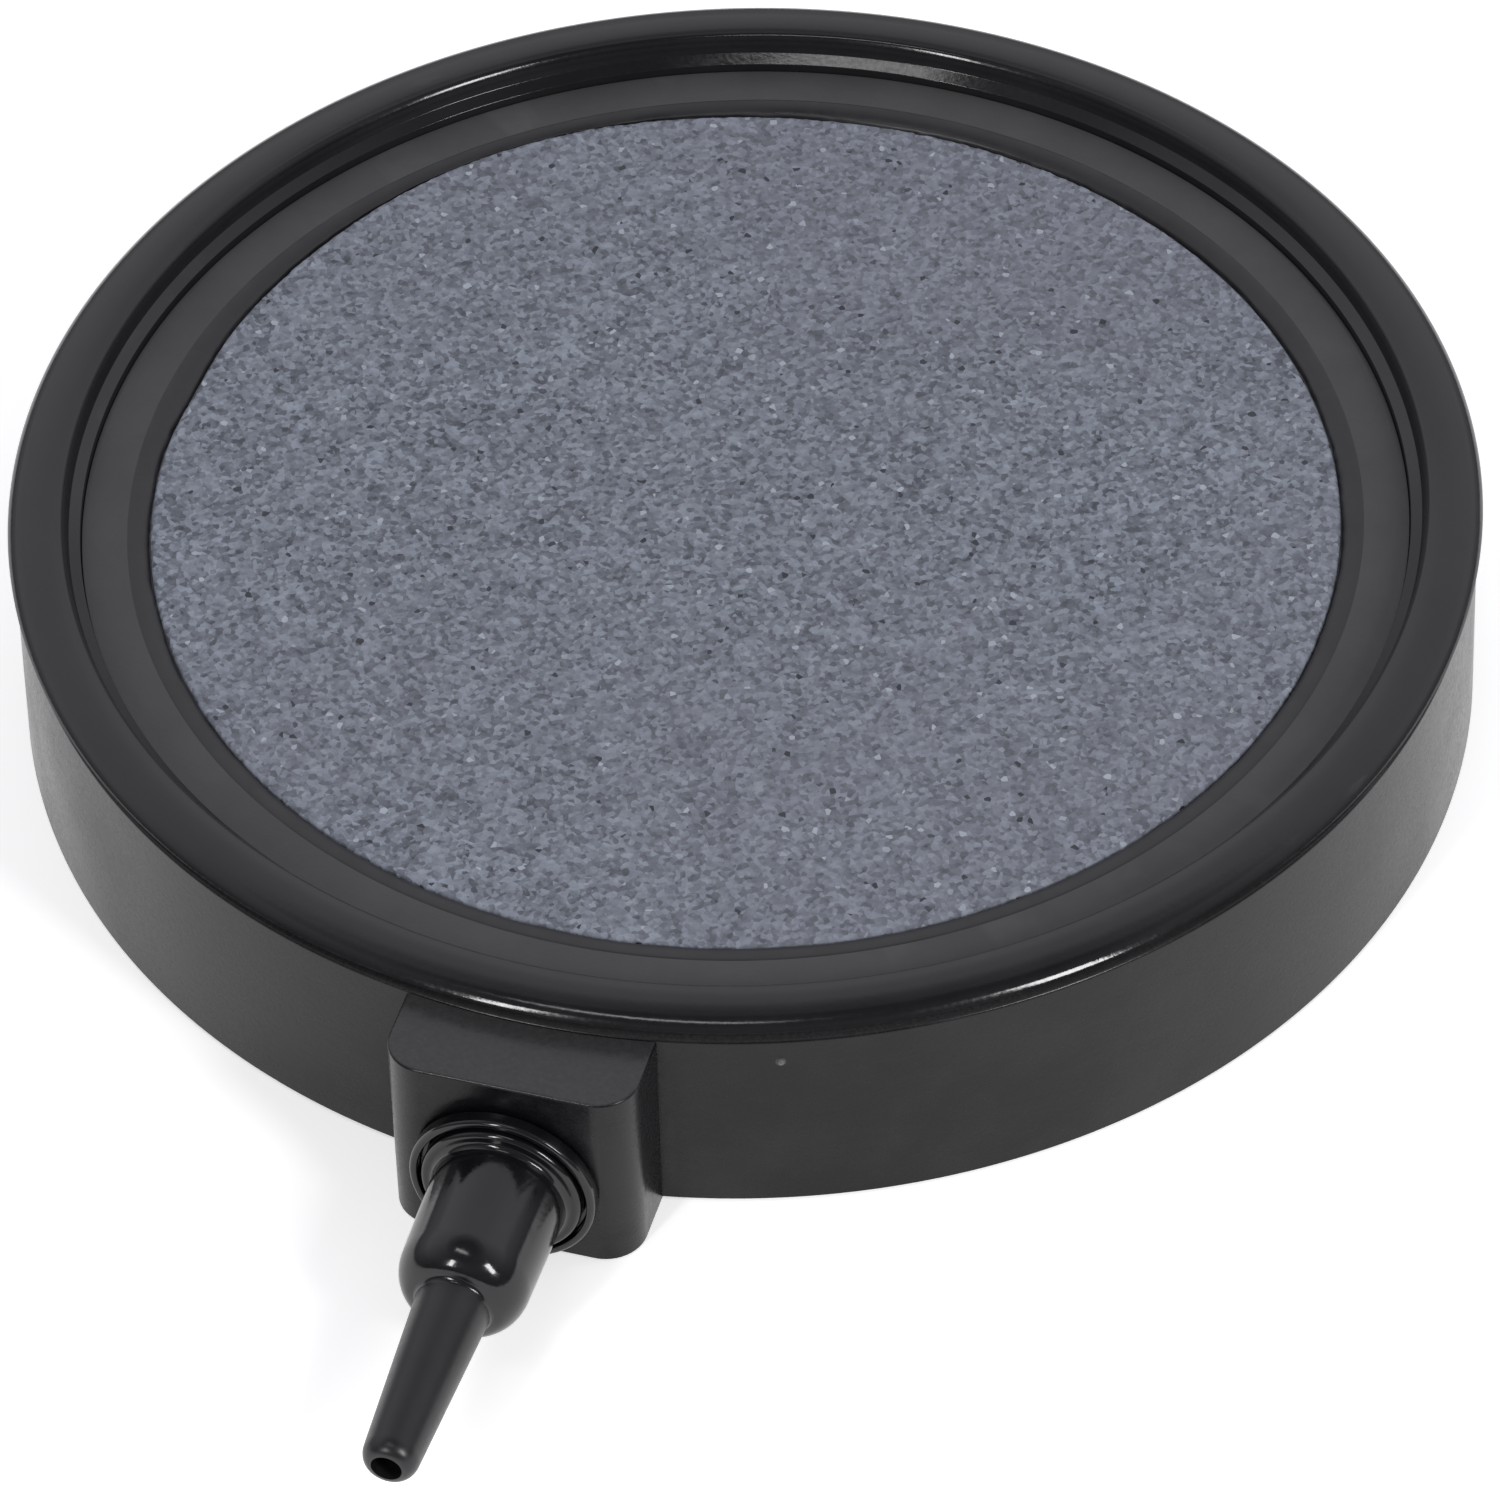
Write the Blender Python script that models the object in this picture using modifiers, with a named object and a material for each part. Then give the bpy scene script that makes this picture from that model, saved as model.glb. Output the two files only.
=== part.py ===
"""Air stone: a porous disc in a round dish, fed with air through a push-in nozzle.

Frame: the origin is the disc's centre on its flat underside, +Z is up and the nozzle points to -Y.
Every size is in metres.
"""

import math

import bpy

MM = 0.001
LARGE_STEPS = 64
SMALL_STEPS = 32
SEAL_SIDES = 8
ARC_SEGMENTS = 4
WELD = 1e-6
SHARP_ANGLE = math.radians(35.0)

# Heights of the dish and its cover
FLOOR_TOP = 2.2 * MM
WALL_TOP = 16.1 * MM
LIP_UNDERSIDE = 16.4 * MM
LIP_WIDEST = 16.9 * MM
RIM_TOP = 18.25 * MM

# Dish: radii of the wall, the ring-shaped recess under the floor and the ribs
WALL_FOOT_RADIUS = 53.4 * MM
WALL_HEAD_RADIUS = 53.15 * MM
WALL_INNER_RADIUS = 50.9 * MM
FOOT_CHAMFER = 0.35 * MM
RECESS_OUTER_RADIUS = 46.8 * MM
RECESS_INNER_RADIUS = 20.0 * MM
RECESS_DEPTH = 0.6 * MM
REBATE_RADIUS = 52.2 * MM
REBATE_FLOOR = 14.6 * MM
RIB_COUNT = 8
RIB_REACH = 39.5 * MM
RIB_THICKNESS = 1.6 * MM
RIB_TOP = 7.2 * MM
HUB_RADIUS = 5.0 * MM

# Cover ring
RIM_RADIUS = 53.5 * MM
RIM_ROUNDING = 1.5 * MM
LIP_ROUNDING = 0.5 * MM
STEP_RADIUS = 48.5 * MM
STEP_FOOT = 15.4 * MM
STEP_ROUNDING = 1.0 * MM
STEP_SLOPE = 0.05 * MM
SKIRT_RADIUS = 50.6 * MM
SKIRT_BOTTOM = 11.6 * MM
SHELF_RADIUS = 46.9 * MM
SHELF_TOP = 12.8 * MM

# Stone carrier
BAND_RADIUS = 48.2 * MM
BAND_OUTER_TOP = 15.6 * MM
BAND_INNER_TOP = 15.3 * MM
BAND_UNDERSIDE = 13.1 * MM
BAND_ROUNDING = 0.2 * MM
CUP_OUTER_RADIUS = 46.6 * MM
CUP_INNER_RADIUS = 44.3 * MM
LEDGE_RADIUS = 41.2 * MM
LEDGE_TOP = 6.6 * MM
CUP_BOTTOM = 5.0 * MM

# Stone, its gasket and its bead
STONE_RADIUS = 43.3 * MM
STONE_TOP = 15.3 * MM
STONE_BOTTOM = 7.6 * MM
STONE_CHAMFER = 0.3 * MM
GASKET_RADII = (41.5 * MM, 43.8 * MM)
GASKET_HEIGHTS = (6.85 * MM, 7.35 * MM)
BEAD_RADII = (43.58 * MM, 44.02 * MM)
BEAD_HEIGHTS = (12.8 * MM, 15.15 * MM)
BEAD_CROWN = 0.22 * MM

# Seal ring between dish and cover
COVER_SEAL_RADIUS = 51.4 * MM
COVER_SEAL_HEIGHT = 15.5 * MM
COVER_SEAL_SECTION = 0.52 * MM

# Inlet boss on the dish; distances along the inlet run from the disc's centre
INLET_HEIGHT = 6.9 * MM
BOSS_TOP = 15.9 * MM
BOSS_HALF_WIDTH = 9.0 * MM
BOSS_FACE = 59.2 * MM
BOSS_BACK = 52.25 * MM
BOSS_CORNER = 2.9 * MM
BOSS_CORNER_SEGMENTS = 6
BORE_RADIUS = 6.0 * MM
BORE_END = 52.0 * MM
PASSAGE_RADIUS = 3.0 * MM
PASSAGE_END = 49.0 * MM
CUTTER_OVERRUN = 5.0 * MM

# Inlet bush
BUSH_BODY_RADIUS = 5.7 * MM
BUSH_BORE_RADIUS = 4.5 * MM
BUSH_BACK = 52.3 * MM
COLLAR_RADIUS = 6.7 * MM
COLLAR_BACK = 59.5 * MM
COLLAR_FACE = 60.6 * MM
COLLAR_ROUNDING = 0.35 * MM
SEAT_RADIUS = 6.1 * MM
SEAT_DEPTH = 0.95 * MM

# Nozzle
PLUG_RADIUS = 4.2 * MM
PLUG_BACK = 53.0 * MM
PLUG_CHAMFER = 0.3 * MM
GROOVE_RADIUS = 3.4 * MM
GROOVE_FROM = 54.6 * MM
GROOVE_TO = 56.6 * MM
FLANGE_RADIUS = 5.8 * MM
FLANGE_BACK = 59.95 * MM
FLANGE_FACE = 60.9 * MM
FLANGE_ROUNDING = 0.4 * MM
SLEEVE_ROOT_RADIUS = 4.8 * MM
SLEEVE_ROOT_FILLET = 0.5 * MM
SLEEVE_HEAD_RADIUS = 4.65 * MM
SHOULDER_ROUNDING = 2.0 * MM
SHOULDER_LENGTH = 2.8 * MM
SHOULDER_SWEEP = 70.0
SLEEVE_HEAD = 71.4 * MM
STEM_ROOT_RADIUS = 2.68 * MM
STEM_TIP_RADIUS = 2.0 * MM
STEM_FILLET = 0.6 * MM
STEM_FILLET_SWEEP = 45.0
STEM_TIP = 86.3 * MM
TIP_ROUNDING_LENGTH = 1.3 * MM
AIRWAY_RADIUS = 2.4 * MM
AIRWAY_END = 68.9 * MM
STEM_BORE_RADIUS = 1.1 * MM
STEM_BORE_START = 70.1 * MM
NOZZLE_SEAL_RADIUS = 3.95 * MM
NOZZLE_SEAL_PLACE = 55.6 * MM
NOZZLE_SEAL_SECTION = 0.38 * MM


def clear_scene():
    """Remove whatever objects the scene starts with."""
    for obj in list(bpy.data.objects):
        bpy.data.objects.remove(obj, do_unlink=True)


def add_collection(name):
    """Make a collection and link it to the scene."""
    group = bpy.data.collections.new(name)
    bpy.context.scene.collection.children.link(group)
    return group


def make_material(name, colour, roughness, metallic=0.0):
    """Make a Principled material of one colour."""
    material = bpy.data.materials.new(name)
    material.use_nodes = True
    shader = material.node_tree.nodes["Principled BSDF"]
    shader.inputs["Base Color"].default_value = (*colour, 1.0)
    shader.inputs["Roughness"].default_value = roughness
    shader.inputs["Metallic"].default_value = metallic
    return material


def move_to(obj, group):
    """Keep the object in this collection only."""
    for other in list(obj.users_collection):
        other.objects.unlink(obj)
    group.objects.link(obj)


def arc(centre, radii, start, end, segments=ARC_SEGMENTS):
    """Points on an ellipse from one angle to another, in degrees, with both ends included."""
    points = []
    for i in range(segments + 1):
        angle = math.radians(start + (end - start) * i / segments)
        points.append((centre[0] + radii[0] * math.cos(angle), centre[1] + radii[1] * math.sin(angle)))
    return points


def turned(name, profile, group, steps=LARGE_STEPS, closed=True):
    """Turn a profile of (radius, height) points about the Z axis; its outer side runs downwards."""
    count = len(profile)
    edges = [(i, i + 1) for i in range(count - 1)]
    if closed:
        edges.append((count - 1, 0))
    mesh = bpy.data.meshes.new(name)
    mesh.from_pydata([(radius, 0.0, height) for radius, height in profile], edges, [])
    obj = bpy.data.objects.new(name, mesh)
    group.objects.link(obj)
    screw = obj.modifiers.new("turn", "SCREW")
    screw.steps = steps
    screw.render_steps = steps
    screw.use_merge_vertices = True
    screw.merge_threshold = WELD
    return obj


def seal_ring(name, group, ring_radius, height, section_radius, steps):
    """A ring of round section, its axis on Z."""
    points = arc((ring_radius, height), (section_radius, section_radius), 180, -180, SEAL_SIDES)
    return turned(name, points[:-1], group, steps)


def box(name, low, high, group):
    """An axis-aligned box between two corners, with its scale applied."""
    centre = [(a + b) / 2 for a, b in zip(low, high)]
    bpy.ops.mesh.primitive_cube_add(size=1.0, location=centre)
    obj = bpy.context.active_object
    obj.name = name
    obj.scale = [b - a for a, b in zip(low, high)]
    bpy.ops.object.transform_apply(location=False, rotation=False, scale=True)
    move_to(obj, group)
    return obj


def cylinder(name, radius, length, centre, group, tilt=0.0):
    """A cylinder round a vertical axis, or tilted about X."""
    bpy.ops.mesh.primitive_cylinder_add(
        vertices=SMALL_STEPS,
        radius=radius,
        depth=length,
        location=centre,
        rotation=(tilt, 0.0, 0.0),
    )
    obj = bpy.context.active_object
    obj.name = name
    move_to(obj, group)
    return obj


def inlet_cutter(name, radius, start, end, group):
    """A cylinder round the inlet's axis, between two distances from the disc's centre."""
    centre = (0.0, -(start + end) / 2, INLET_HEIGHT)
    return cylinder(name, radius, end - start, centre, group, tilt=math.pi / 2)


def as_helper(obj):
    """Keep a cutter or a joined block out of the model itself."""
    obj.hide_render = True
    obj.display_type = "WIRE"
    return obj


def combine(obj, helper, operation):
    """Add a Boolean of this object with a helper."""
    step = obj.modifiers.new(helper.name, "BOOLEAN")
    step.operation = operation
    step.solver = "EXACT"
    step.object = as_helper(helper)


def round_boss_corners(block):
    """Round the boss's two upright front edges, and no others."""
    weights = block.data.attributes.new("bevel_weight_edge", "FLOAT", "EDGE")
    for edge in block.data.edges:
        ends = [block.matrix_world @ block.data.vertices[i].co for i in edge.vertices]
        upright = abs(ends[0].z - ends[1].z) > BOSS_TOP / 2
        in_front = max(end.y for end in ends) < -(BOSS_FACE + BOSS_BACK) / 2
        weights.data[edge.index].value = 1.0 if upright and in_front else 0.0
    bevel = block.modifiers.new("corners", "BEVEL")
    bevel.limit_method = "WEIGHT"
    bevel.width = BOSS_CORNER
    bevel.segments = BOSS_CORNER_SEGMENTS


def make_base_dish(group, helpers):
    """Floor, side wall, support ribs and the square inlet boss, all one moulding."""
    profile = [
        (0.0, FLOOR_TOP),
        (WALL_INNER_RADIUS, FLOOR_TOP),
        (WALL_INNER_RADIUS, REBATE_FLOOR),
        (REBATE_RADIUS, REBATE_FLOOR),
        (REBATE_RADIUS, WALL_TOP),
        (WALL_HEAD_RADIUS, WALL_TOP),
        (WALL_FOOT_RADIUS, FOOT_CHAMFER),
        (WALL_FOOT_RADIUS - FOOT_CHAMFER, 0.0),
        (RECESS_OUTER_RADIUS, 0.0),
        (RECESS_OUTER_RADIUS - RECESS_DEPTH, RECESS_DEPTH),
        (RECESS_INNER_RADIUS + RECESS_DEPTH, RECESS_DEPTH),
        (RECESS_INNER_RADIUS, 0.0),
        (0.0, 0.0),
    ]
    dish = turned("base_dish", profile, group, closed=False)
    boss = box(
        "boss_block",
        (-BOSS_HALF_WIDTH, -BOSS_FACE, 0.0),
        (BOSS_HALF_WIDTH, -BOSS_BACK, BOSS_TOP),
        helpers,
    )
    bpy.context.view_layer.update()
    round_boss_corners(boss)
    combine(dish, boss, "UNION")
    rib_foot = (FLOOR_TOP + RECESS_DEPTH) / 2
    for i in range(RIB_COUNT // 2):
        bar = box(
            f"rib_bar_{i + 1}",
            (-RIB_REACH, -RIB_THICKNESS / 2, rib_foot),
            (RIB_REACH, RIB_THICKNESS / 2, RIB_TOP),
            helpers,
        )
        bar.rotation_euler.z = 2 * math.pi * (i + 0.5) / RIB_COUNT
        combine(dish, bar, "UNION")
    hub_middle = (0.0, 0.0, (RIB_TOP + rib_foot) / 2)
    hub = cylinder("hub_block", HUB_RADIUS, RIB_TOP - rib_foot, hub_middle, helpers)
    combine(dish, hub, "UNION")
    bore = inlet_cutter("bush_bore", BORE_RADIUS, BORE_END, BOSS_FACE + CUTTER_OVERRUN, helpers)
    combine(dish, bore, "DIFFERENCE")
    passage_end = BORE_END + CUTTER_OVERRUN
    passage = inlet_cutter("air_passage", PASSAGE_RADIUS, PASSAGE_END, passage_end, helpers)
    combine(dish, passage, "DIFFERENCE")
    return dish


def make_cover_ring(group):
    """Raised rim with a rounded step inside and a skirt that plugs into the dish."""
    rim_centre = RIM_RADIUS - RIM_ROUNDING
    step_head = STEP_RADIUS + STEP_SLOPE
    profile = [
        (SHELF_RADIUS, SKIRT_BOTTOM),
        (SHELF_RADIUS, SHELF_TOP),
        (STEP_RADIUS, SHELF_TOP),
        (STEP_RADIUS, STEP_FOOT),
    ]
    step_centre = (step_head + STEP_ROUNDING, RIM_TOP - STEP_ROUNDING)
    profile += arc(step_centre, (STEP_ROUNDING, STEP_ROUNDING), 180, 90)
    profile += arc((rim_centre, LIP_WIDEST), (RIM_ROUNDING, RIM_TOP - LIP_WIDEST), 90, 0)
    lip_centre = (RIM_RADIUS - LIP_ROUNDING, LIP_UNDERSIDE + LIP_ROUNDING)
    profile += arc(lip_centre, (LIP_ROUNDING, LIP_ROUNDING), 0, -90, 2)[1:]
    profile += [
        (SKIRT_RADIUS, LIP_UNDERSIDE),
        (SKIRT_RADIUS, SKIRT_BOTTOM),
    ]
    return turned("cover_ring", profile, group)


def make_stone_carrier(group):
    """Flat band round the stone, with the cup and ledge that hold the stone."""
    profile = [
        (LEDGE_RADIUS, CUP_BOTTOM),
        (LEDGE_RADIUS, LEDGE_TOP),
        (CUP_INNER_RADIUS, LEDGE_TOP),
        (CUP_INNER_RADIUS, BAND_INNER_TOP - BAND_ROUNDING),
        (CUP_INNER_RADIUS + BAND_ROUNDING, BAND_INNER_TOP),
        (BAND_RADIUS - BAND_ROUNDING, BAND_OUTER_TOP),
        (BAND_RADIUS, BAND_OUTER_TOP - BAND_ROUNDING),
        (BAND_RADIUS, BAND_UNDERSIDE),
        (CUP_OUTER_RADIUS, BAND_UNDERSIDE),
        (CUP_OUTER_RADIUS, CUP_BOTTOM),
    ]
    return turned("stone_carrier", profile, group)


def make_stone(group):
    """The porous disc."""
    profile = [
        (0.0, STONE_TOP),
        (STONE_RADIUS - STONE_CHAMFER, STONE_TOP),
        (STONE_RADIUS, STONE_TOP - STONE_CHAMFER),
        (STONE_RADIUS, STONE_BOTTOM),
        (0.0, STONE_BOTTOM),
    ]
    return turned("stone_disc", profile, group, closed=False)


def make_sealant_bead(group):
    """Bead of sealant between the stone and its carrier, with a crowned top."""
    inner, outer = BEAD_RADII
    bottom, shoulder = BEAD_HEIGHTS
    half_width = (outer - inner) / 2
    profile = [(inner, bottom)]
    profile += arc((inner + half_width, shoulder), (half_width, BEAD_CROWN), 180, 0)
    profile.append((outer, bottom))
    return turned("sealant_bead", profile, group)


def make_stone_gasket(group):
    """Flat washer under the stone's edge."""
    inner, outer = GASKET_RADII
    bottom, top = GASKET_HEIGHTS
    return turned("stone_gasket", [(inner, bottom), (inner, top), (outer, top), (outer, bottom)], group)


def make_inlet_bush(group):
    """Collar and liner of the boss's bore, with a seat for the nozzle's flange."""
    seat_floor = COLLAR_FACE - SEAT_DEPTH
    collar_centre = (COLLAR_RADIUS - COLLAR_ROUNDING, COLLAR_FACE - COLLAR_ROUNDING)
    profile = [
        (BUSH_BORE_RADIUS, BUSH_BACK),
        (BUSH_BORE_RADIUS, seat_floor),
        (SEAT_RADIUS, seat_floor),
        (SEAT_RADIUS, COLLAR_FACE),
    ]
    profile += arc(collar_centre, (COLLAR_ROUNDING, COLLAR_ROUNDING), 90, 0)
    profile += [
        (COLLAR_RADIUS, COLLAR_BACK),
        (BUSH_BODY_RADIUS, COLLAR_BACK),
        (BUSH_BODY_RADIUS, BUSH_BACK),
    ]
    return turned("inlet_bush", profile, group, SMALL_STEPS)


def nozzle_profile():
    """Section of the nozzle: its airway, stem, sleeve, flange and grooved plug."""
    shoulder_start = SLEEVE_HEAD - SHOULDER_LENGTH
    shoulder_foot = SLEEVE_HEAD_RADIUS - SHOULDER_ROUNDING
    flange_rounding = (FLANGE_ROUNDING, FLANGE_ROUNDING)
    profile = [
        (AIRWAY_RADIUS, PLUG_BACK),
        (AIRWAY_RADIUS, AIRWAY_END),
        (STEM_BORE_RADIUS, STEM_BORE_START),
    ]
    tip_centre = (STEM_BORE_RADIUS, STEM_TIP - TIP_ROUNDING_LENGTH)
    profile += arc(tip_centre, (STEM_TIP_RADIUS - STEM_BORE_RADIUS, TIP_ROUNDING_LENGTH), 90, 0)
    fillet_centre = (STEM_ROOT_RADIUS + STEM_FILLET, SLEEVE_HEAD + STEM_FILLET / 2)
    profile += arc(fillet_centre, (STEM_FILLET, STEM_FILLET), 180, 180 + STEM_FILLET_SWEEP, 2)
    shoulder_centre = (shoulder_foot, shoulder_start)
    profile += arc(shoulder_centre, (SHOULDER_ROUNDING, SHOULDER_LENGTH), SHOULDER_SWEEP, 0)
    fillet = SLEEVE_ROOT_FILLET
    root_centre = (SLEEVE_ROOT_RADIUS + fillet, FLANGE_FACE + fillet)
    profile += arc(root_centre, (fillet, fillet), 180, 270, 2)
    flange_centre = (FLANGE_RADIUS - FLANGE_ROUNDING, FLANGE_FACE - FLANGE_ROUNDING)
    profile += arc(flange_centre, flange_rounding, 90, 0, 3)
    profile += [
        (FLANGE_RADIUS, FLANGE_BACK),
        (PLUG_RADIUS, FLANGE_BACK),
        (PLUG_RADIUS, GROOVE_TO),
        (GROOVE_RADIUS, GROOVE_TO),
        (GROOVE_RADIUS, GROOVE_FROM),
        (PLUG_RADIUS, GROOVE_FROM),
        (PLUG_RADIUS, PLUG_BACK + PLUG_CHAMFER),
        (PLUG_RADIUS - PLUG_CHAMFER, PLUG_BACK),
    ]
    return profile


def set_on_inlet(pieces, group):
    """Parent turned pieces to an empty that carries their axis to the inlet, which points to -Y."""
    axis = bpy.data.objects.new("inlet_axis", None)
    axis.location = (0.0, 0.0, INLET_HEIGHT)
    axis.rotation_euler = (math.pi / 2, 0.0, 0.0)
    group.objects.link(axis)
    for piece in pieces:
        piece.parent = axis


def finish(obj, material):
    """Apply the modifiers, then set the material and smooth shading with sharp corners."""
    graph = bpy.context.evaluated_depsgraph_get()
    mesh = bpy.data.meshes.new_from_object(obj.evaluated_get(graph))
    obj.modifiers.clear()
    obj.data = mesh
    mesh.materials.clear()
    mesh.materials.append(material)
    mesh.shade_smooth()
    mesh.set_sharp_from_angle(angle=SHARP_ANGLE)


def main():
    clear_scene()
    parts = add_collection("air_stone")
    helpers = add_collection("cutters")

    gloss_black = make_material("gloss_black_plastic", (0.022, 0.022, 0.024), 0.25)
    satin_black = make_material("satin_black_plastic", (0.030, 0.030, 0.032), 0.42)
    stone_grey = make_material("porous_stone", (0.16, 0.18, 0.215), 0.95)
    sealant = make_material("sealant", (0.012, 0.012, 0.013), 0.5)
    rubber = make_material("seal_rubber", (0.02, 0.02, 0.02), 0.7)

    finish(make_base_dish(parts, helpers), satin_black)
    finish(make_cover_ring(parts), gloss_black)
    finish(make_stone_carrier(parts), satin_black)
    finish(make_stone(parts), stone_grey)
    finish(make_sealant_bead(parts), sealant)
    finish(make_stone_gasket(parts), rubber)
    cover_seal = seal_ring(
        "cover_seal", parts, COVER_SEAL_RADIUS, COVER_SEAL_HEIGHT, COVER_SEAL_SECTION, LARGE_STEPS
    )
    finish(cover_seal, rubber)

    bush = make_inlet_bush(parts)
    nozzle = turned("inlet_nozzle", nozzle_profile(), parts, SMALL_STEPS)
    nozzle_seal = seal_ring(
        "nozzle_o_ring", parts, NOZZLE_SEAL_RADIUS, NOZZLE_SEAL_PLACE, NOZZLE_SEAL_SECTION, SMALL_STEPS
    )
    set_on_inlet([bush, nozzle, nozzle_seal], parts)
    finish(bush, gloss_black)
    finish(nozzle, gloss_black)
    finish(nozzle_seal, rubber)


main()
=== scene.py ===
"""Looks of the air stone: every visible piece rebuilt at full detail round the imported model.

The row frame's origin is the disc's centre on its flat underside, +Z is up and the nozzle points to
-Y. The scene is in metres, and so are the lengths in materials. The sizes of pieces are in millimetres,
and MM turns them into metres. A profile's points are (radius, height); on the inlet's pieces, the height
is the distance from the disc's centre.
"""

import math

import bmesh
import bpy
import numpy as np
from mathutils import Matrix, Vector
from mathutils.geometry import delaunay_2d_cdt


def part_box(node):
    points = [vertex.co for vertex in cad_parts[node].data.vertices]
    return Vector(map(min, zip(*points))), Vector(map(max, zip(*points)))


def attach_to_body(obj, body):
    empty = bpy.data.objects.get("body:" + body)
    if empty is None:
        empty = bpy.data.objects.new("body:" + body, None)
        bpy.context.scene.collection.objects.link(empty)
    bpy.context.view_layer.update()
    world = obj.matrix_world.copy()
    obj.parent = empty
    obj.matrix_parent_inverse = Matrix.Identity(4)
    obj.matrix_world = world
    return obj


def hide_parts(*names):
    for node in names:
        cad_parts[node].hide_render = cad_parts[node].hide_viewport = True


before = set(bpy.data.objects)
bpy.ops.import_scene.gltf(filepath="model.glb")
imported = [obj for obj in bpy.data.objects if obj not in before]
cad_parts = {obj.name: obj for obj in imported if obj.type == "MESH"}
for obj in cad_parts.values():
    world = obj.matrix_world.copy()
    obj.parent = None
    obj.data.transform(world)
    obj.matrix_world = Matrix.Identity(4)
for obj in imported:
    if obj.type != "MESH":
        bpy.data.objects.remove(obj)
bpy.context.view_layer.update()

MM = 0.001
FINE_STEPS = 360
INLET_STEPS = 144
BEAD_STEPS = 1080
SMALL_STEPS = 96
SMOOTH_ANGLE = math.radians(32)
LONGEST_ARC_SIDE = 0.49
ON_AXIS = 1e-7
SEED = 7

STONE_DARK = (0.062, 0.069, 0.084)
STONE_LIGHT = (0.286, 0.313, 0.378)
STONE_WARM = (0.184, 0.182, 0.216)
GLASSY_GRAIN = (0.42, 0.46, 0.52)
DARK_GRAIN = (0.03, 0.032, 0.04)
DUST_GREY = (0.09, 0.09, 0.093)
# A painted highlight on the gate mark: its lighter grey, and the distances in metres over which it fades
# out.
GATE_HIGHLIGHT_GREY = (0.11, 0.11, 0.115)
GATE_HIGHLIGHT_FADE = (0.00028, 0.00042)
WEAR = 0.02


# ---------------------------------------------------------------- mesh helpers


def corner_arc(before, corner, after, radius, segments):
    """Points that round one corner of an outline with an arc of this radius."""
    to_before = np.subtract(before, corner)
    to_after = np.subtract(after, corner)
    length_before = np.linalg.norm(to_before)
    length_after = np.linalg.norm(to_after)
    to_before = to_before / length_before
    to_after = to_after / length_after
    half_angle = math.acos(np.clip(to_before @ to_after, -1, 1)) / 2
    longest = LONGEST_ARC_SIDE * min(length_before, length_after)
    reach = min(radius / math.tan(half_angle), longest)
    radius = reach * math.tan(half_angle)
    bisector = to_before + to_after
    bisector = bisector / np.linalg.norm(bisector)
    centre = np.add(corner, bisector * radius / math.sin(half_angle))
    start = np.add(corner, to_before * reach) - centre
    end = np.add(corner, to_after * reach) - centre
    sweep = math.pi - 2 * half_angle
    points = []
    for i in range(segments + 1):
        share = i / segments
        from_start = start * math.sin((1 - share) * sweep)
        from_end = end * math.sin(share * sweep)
        points.append(tuple(centre + (from_start + from_end) / math.sin(sweep)))
    return points


def rounded(corners, segments=6, closed=True):
    """An outline from (x, y, rounding) corners in millimetres, as points in metres."""
    points = []
    count = len(corners)
    for i, (x, y, radius) in enumerate(corners):
        if radius == 0 or (not closed and i in (0, count - 1)):
            points.append((x, y))
            continue
        before = corners[i - 1][:2]
        after = corners[(i + 1) % count][:2]
        points += corner_arc(before, (x, y), after, radius, segments)
    return [(x * MM, y * MM) for x, y in points]


def object_from(name, vertices, faces):
    """A mesh object in the scene, from vertices in metres."""
    mesh = bpy.data.meshes.new(name)
    mesh.from_pydata([tuple(v) for v in vertices], [], faces)
    mesh.validate()
    obj = bpy.data.objects.new(name, mesh)
    bpy.context.scene.collection.objects.link(obj)
    return obj


def revolve(name, outline, steps, closed=True, wobble=None):
    """Turn an outline of (radius, height) points in metres about the Z axis.

    wobble(angle, i) gives how far outline point i moves, outward and up, at that angle.
    """
    vertices = []
    rings = []
    for i, (radius, height) in enumerate(outline):
        if radius < ON_AXIS:
            rings.append([len(vertices)])
            vertices.append((0.0, 0.0, height))
            continue
        ring = []
        for k in range(steps):
            angle = 2 * math.pi * k / steps
            dr, dz = wobble(angle, i) if wobble else (0.0, 0.0)
            ring.append(len(vertices))
            reach = radius + dr
            vertices.append((reach * math.cos(angle), reach * math.sin(angle), height + dz))
        rings.append(ring)
    faces = []
    pairs = list(zip(rings, rings[1:]))
    if closed:
        pairs.append((rings[-1], rings[0]))
    for upper, lower in pairs:
        if len(upper) == 1 and len(lower) == 1:
            continue
        for k in range(steps):
            n = (k + 1) % steps
            if len(upper) == 1:
                faces.append((upper[0], lower[k], lower[n]))
            elif len(lower) == 1:
                faces.append((upper[k], lower[0], upper[n]))
            else:
                faces.append((upper[k], lower[k], lower[n], upper[n]))
    return object_from(name, vertices, faces)


def shade(obj):
    """Smooth shading with sharp corners, and normals that keep flat faces flat."""
    obj.data.shade_smooth()
    obj.data.set_sharp_from_angle(angle=SMOOTH_ANGLE)
    weighted = obj.modifiers.new("weighted_normals", "WEIGHTED_NORMAL")
    weighted.keep_sharp = True
    return obj


def combine(obj, other, operation):
    """Apply an exact Boolean with another object, which is then removed."""
    step = obj.modifiers.new("combine", "BOOLEAN")
    step.operation = operation
    step.solver = "EXACT"
    step.object = other
    graph = bpy.context.evaluated_depsgraph_get()
    mesh = bpy.data.meshes.new_from_object(obj.evaluated_get(graph))
    obj.modifiers.clear()
    obj.data = mesh
    bpy.data.objects.remove(other, do_unlink=True)


def attach(obj, other):
    """Put another closed shell into a piece's mesh. The other object is removed."""
    shells = bmesh.new()
    shells.from_mesh(obj.data)
    shells.from_mesh(other.data)
    shells.to_mesh(obj.data)
    shells.free()
    bpy.data.objects.remove(other, do_unlink=True)


def on_inlet(obj, height):
    """Turn a piece made round Z so that its axis is the inlet's, pointing to -Y."""
    forward = Matrix.Rotation(math.pi / 2, 4, "X")
    obj.data.transform(Matrix.Translation((0, 0, height)) @ forward)
    return obj


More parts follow.
